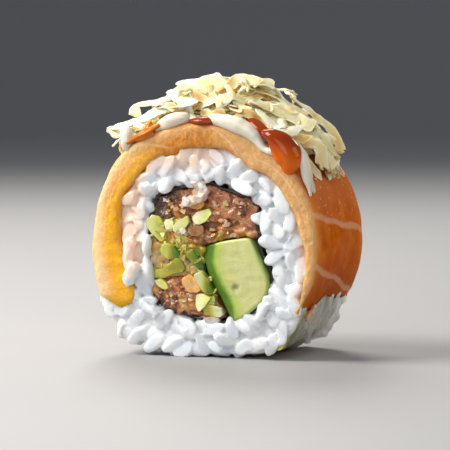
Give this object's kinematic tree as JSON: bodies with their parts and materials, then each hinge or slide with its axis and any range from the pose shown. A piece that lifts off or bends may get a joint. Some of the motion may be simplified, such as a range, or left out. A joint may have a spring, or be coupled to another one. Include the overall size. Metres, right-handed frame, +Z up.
{
  "type": "salmon dragon roll",
  "caption": "Thick piece of inside-out sushi roll: rice ring round a nori-lined filling, under a salmon slice, mayonnaise, chilli sauce and crisp fried shreds.",
  "frame": {"origin": "middle of the flattened underside, where the roll rests on its rounded side", "axes": "+Y along the roll's axis from the front cut face to the back one, +Z up, +X to the right seen from the front"},
  "size_m": [0.0491, 0.0301, 0.0561],
  "materials": {
    "rice": "moist, slightly translucent cooked short-grain rice",
    "nori": "damp black-brown seaweed sheet",
    "salmon": "raw salmon, moist and translucent, orange with pale lines of fat",
    "avocado": "ripe avocado flesh, yellow-green, darker green at the skin side",
    "chopped_salmon": "finely chopped, sauced salmon, moist brown-orange",
    "spring_onion": "wet chopped spring onion in pale and bright greens",
    "mayonnaise": "smooth glossy cream",
    "sauce": "clear glossy orange-red chilli sauce",
    "fried_shred": "dry, crisp, pale golden fried strips"
  },
  "bodies": {
    "root": {"rice": "rice", "nori": "nori", "salmon_slice": "salmon", "avocado": "avocado", "chopped_salmon_top": "chopped_salmon", "chopped_salmon_bottom": "chopped_salmon", "spring_onion": "spring_onion", "mayonnaise": "mayonnaise", "mayonnaise_drip": "mayonnaise", "sauce_drop_right": "sauce", "sauce_drop_left": "sauce", "crisp_shreds": "fried_shred", "salmon_scrap": "salmon"}
  },
  "joints": []
}
